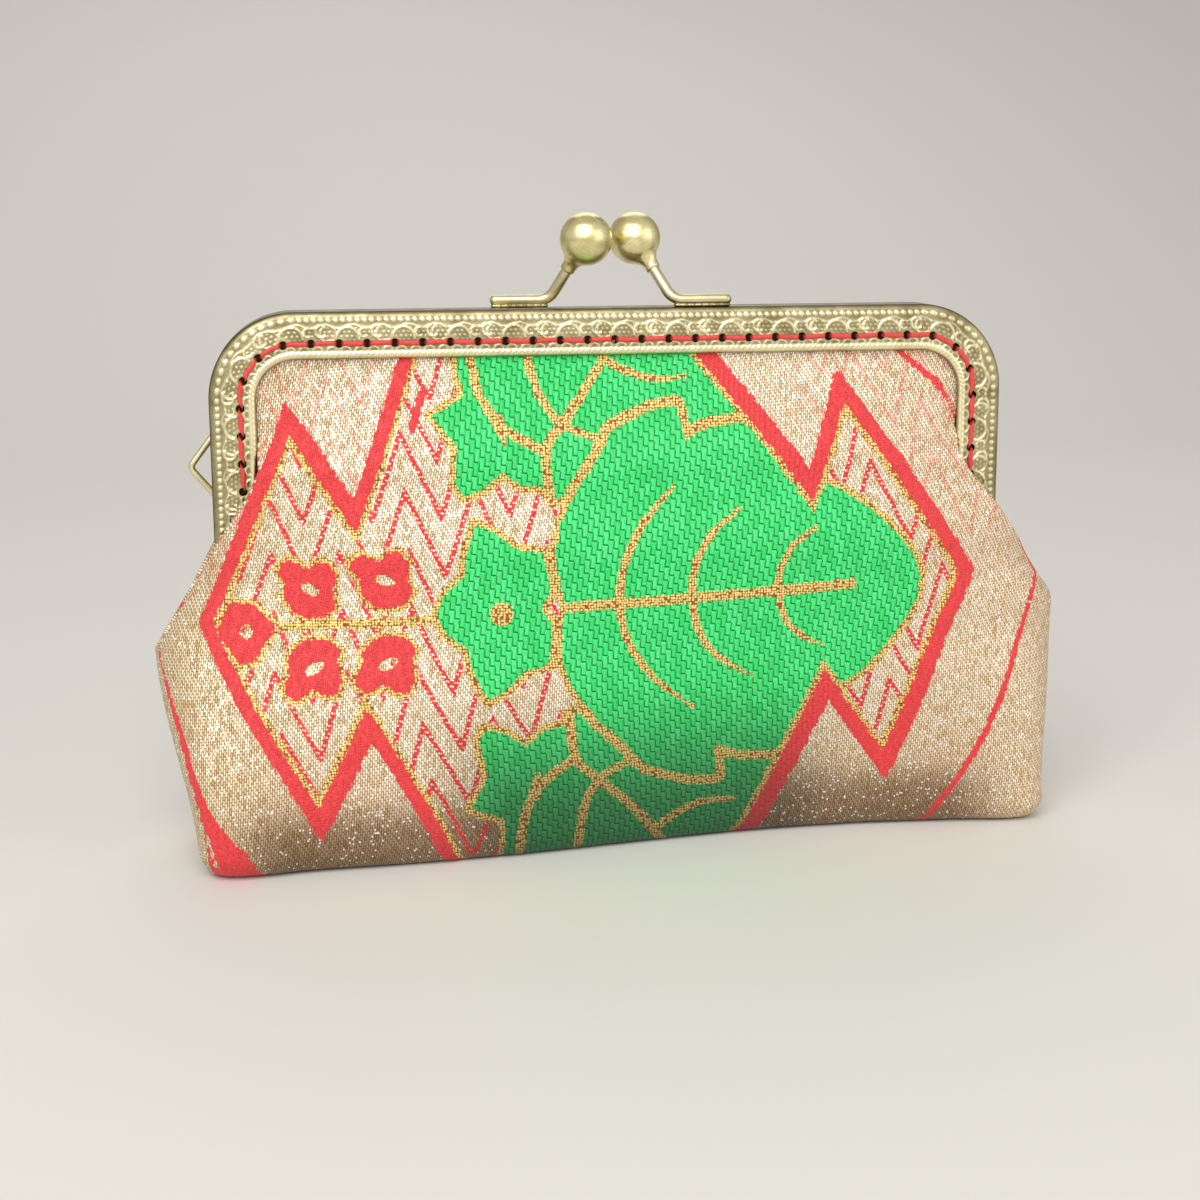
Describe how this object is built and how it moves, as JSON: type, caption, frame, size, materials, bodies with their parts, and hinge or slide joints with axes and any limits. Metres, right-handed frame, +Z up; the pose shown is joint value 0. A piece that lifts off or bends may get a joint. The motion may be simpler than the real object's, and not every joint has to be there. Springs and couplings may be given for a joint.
{
  "type": "kiss-lock frame purse",
  "caption": "Soft brocade purse sewn into a hinged metal frame that opens at the top and snaps shut with a ball clasp.",
  "frame": {"origin": "middle of the bottom, on the surface the purse stands on", "axes": "+X to the right of someone facing the front, +Y to the back, +Z up"},
  "size_m": [0.1768, 0.051, 0.1186],
  "materials": {
    "antique_brass": "antiqued, brushed",
    "rivet_metal": "antique brass plating",
    "brocade": "figured silk with metallic floats",
    "lining": "satin weave",
    "thread": "waxed thread"
  },
  "bodies": {
    "front_half": {"front_frame": "antique_brass", "front_clasp_arm": "antique_brass", "front_clasp_ball": "antique_brass", "left_hinge_rivet": "rivet_metal", "right_hinge_rivet": "rivet_metal", "front_stitching": "thread", "front_panel": "brocade", "front_lining": "lining", "back_panel": "brocade", "back_lining": "lining"},
    "back_half": {"back_frame": "antique_brass", "back_clasp_arm": "antique_brass", "back_clasp_ball": "antique_brass", "left_chain_loop": "antique_brass", "right_chain_loop": "antique_brass", "back_stitching": "thread"}
  },
  "joints": [
    {"name": "frame_hinge", "type": "hinge", "parent": "front_half", "child": "back_half", "pos_m": [0, 0, 0.055], "axis": [-1, 0, 0], "range_deg": [0, 80], "deforming": ["back_panel", "back_lining"]}
  ]
}
